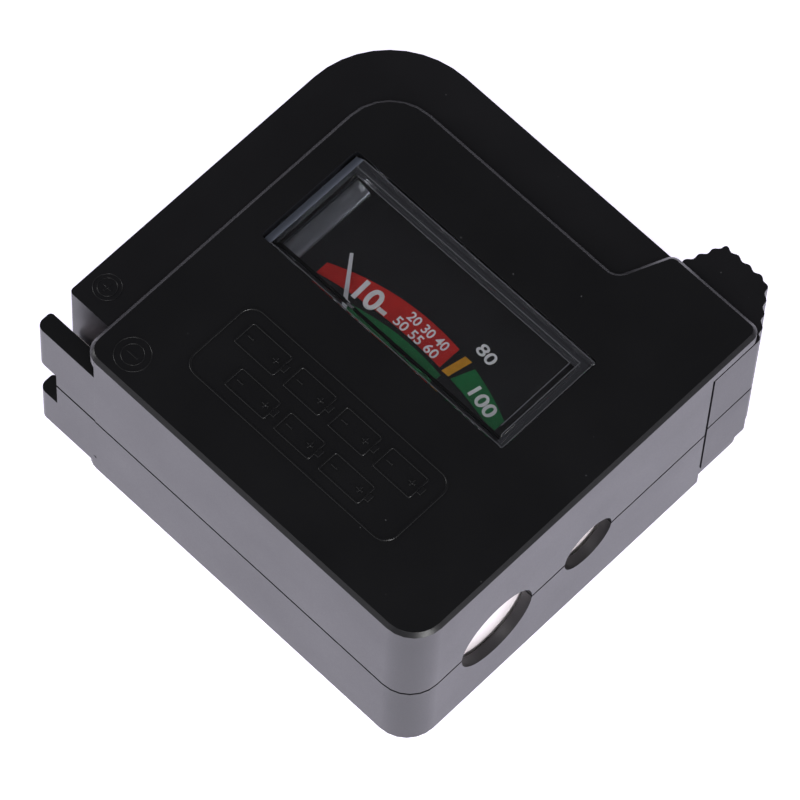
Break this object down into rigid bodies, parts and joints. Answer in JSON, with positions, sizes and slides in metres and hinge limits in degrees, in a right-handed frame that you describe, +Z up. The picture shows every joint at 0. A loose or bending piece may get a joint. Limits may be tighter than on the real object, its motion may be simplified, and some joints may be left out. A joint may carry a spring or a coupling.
{
  "type": "pocket battery tester",
  "caption": "Pocket battery tester: flat black case with a windowed needle meter, a fixed hook, a sliding cell arm with a ridged pull tab, and two snap-terminal sockets.",
  "frame": {"origin": "centre of the bounding box at the arm's rest position, on the surface that the tester lies on", "axes": "+X from the hook end to the socket end, along the dial from left to right; +Y from the front face towards the pull tab, the way the arm slides out; +Z up out of the meter window"},
  "size_m": [0.051, 0.053, 0.0242],
  "materials": {
    "black_abs": "satin moulded black",
    "clear_plastic": "clear polished",
    "dial_black": "printed matt black card",
    "nickel": "bright nickel-plated spring sheet",
    "steel": "zinc-plated steel",
    "soft_iron": "dull ground iron",
    "brass": "plain rolled brass",
    "copper": "enamelled copper wire",
    "aluminium": "plain sheet",
    "white_paint": "white painted aluminium",
    "grey_abs": "plain moulded grey",
    "resistor_body": "lacquered ceramic",
    "red_insulation": "pvc sleeve",
    "black_insulation": "pvc sleeve"
  },
  "bodies": {
    "case": {"bottom_shell": "black_abs", "top_shell": "black_abs", "hook_contact": "nickel", "negative_socket_plate": "nickel", "positive_socket_plate": "nickel", "wiper_spring": "brass", "load_resistor": "resistor_body", "series_resistor": "resistor_body", "hook_wire": "black_insulation", "rail_wire": "red_insulation", "socket_wire": "red_insulation", "coil_wire": "red_insulation", "meter_cover": "clear_plastic", "dial_plate": "dial_black", "meter_base": "grey_abs", "yoke_ring": "soft_iron", "core_magnet": "soft_iron", "core_bracket": "brass", "lower_jewel_screw": "brass", "upper_jewel_screw": "brass", "upper_bridge": "brass", "hairspring": "brass", "case_screw_back_left": "steel", "case_screw_back_right": "steel", "case_screw_front_left": "steel", "case_screw_front_right": "steel", "dial_screw_left": "steel", "dial_screw_right": "steel", "base_screw_left": "steel", "base_screw_right": "steel"},
    "arm": {"arm_lower_shell": "black_abs", "arm_upper_shell": "black_abs", "arm_contact": "nickel", "arm_conductor": "brass", "arm_screw_leg": "steel", "arm_screw_bar": "steel"},
    "rail": {"slide_rail": "steel"},
    "pointer": {"pointer": "white_paint", "coil_former": "aluminium", "coil_winding": "copper", "lower_pivot": "steel", "upper_pivot": "steel"}
  },
  "joints": [
    {"name": "arm_slide", "type": "slide", "parent": "case", "child": "arm", "axis": [0, 1, 0], "range_m": [0, 0.061]},
    {"name": "rail_slide", "type": "slide", "parent": "case", "child": "rail", "axis": [0, 1, 0], "range_m": [0, 0.0305]},
    {"name": "pointer_swing", "type": "hinge", "parent": "case", "child": "pointer", "pos_m": [0.0015, -0.0135, 0.0209], "axis": [0, 0, -1], "range_deg": [0, 82], "stiffness_Nm_per_rad": 0.00002, "deforming": ["hairspring"]}
  ],
  "couplings": [
    {"joint": "rail_slide", "follows": "arm_slide", "ratio": 0.5}
  ]
}
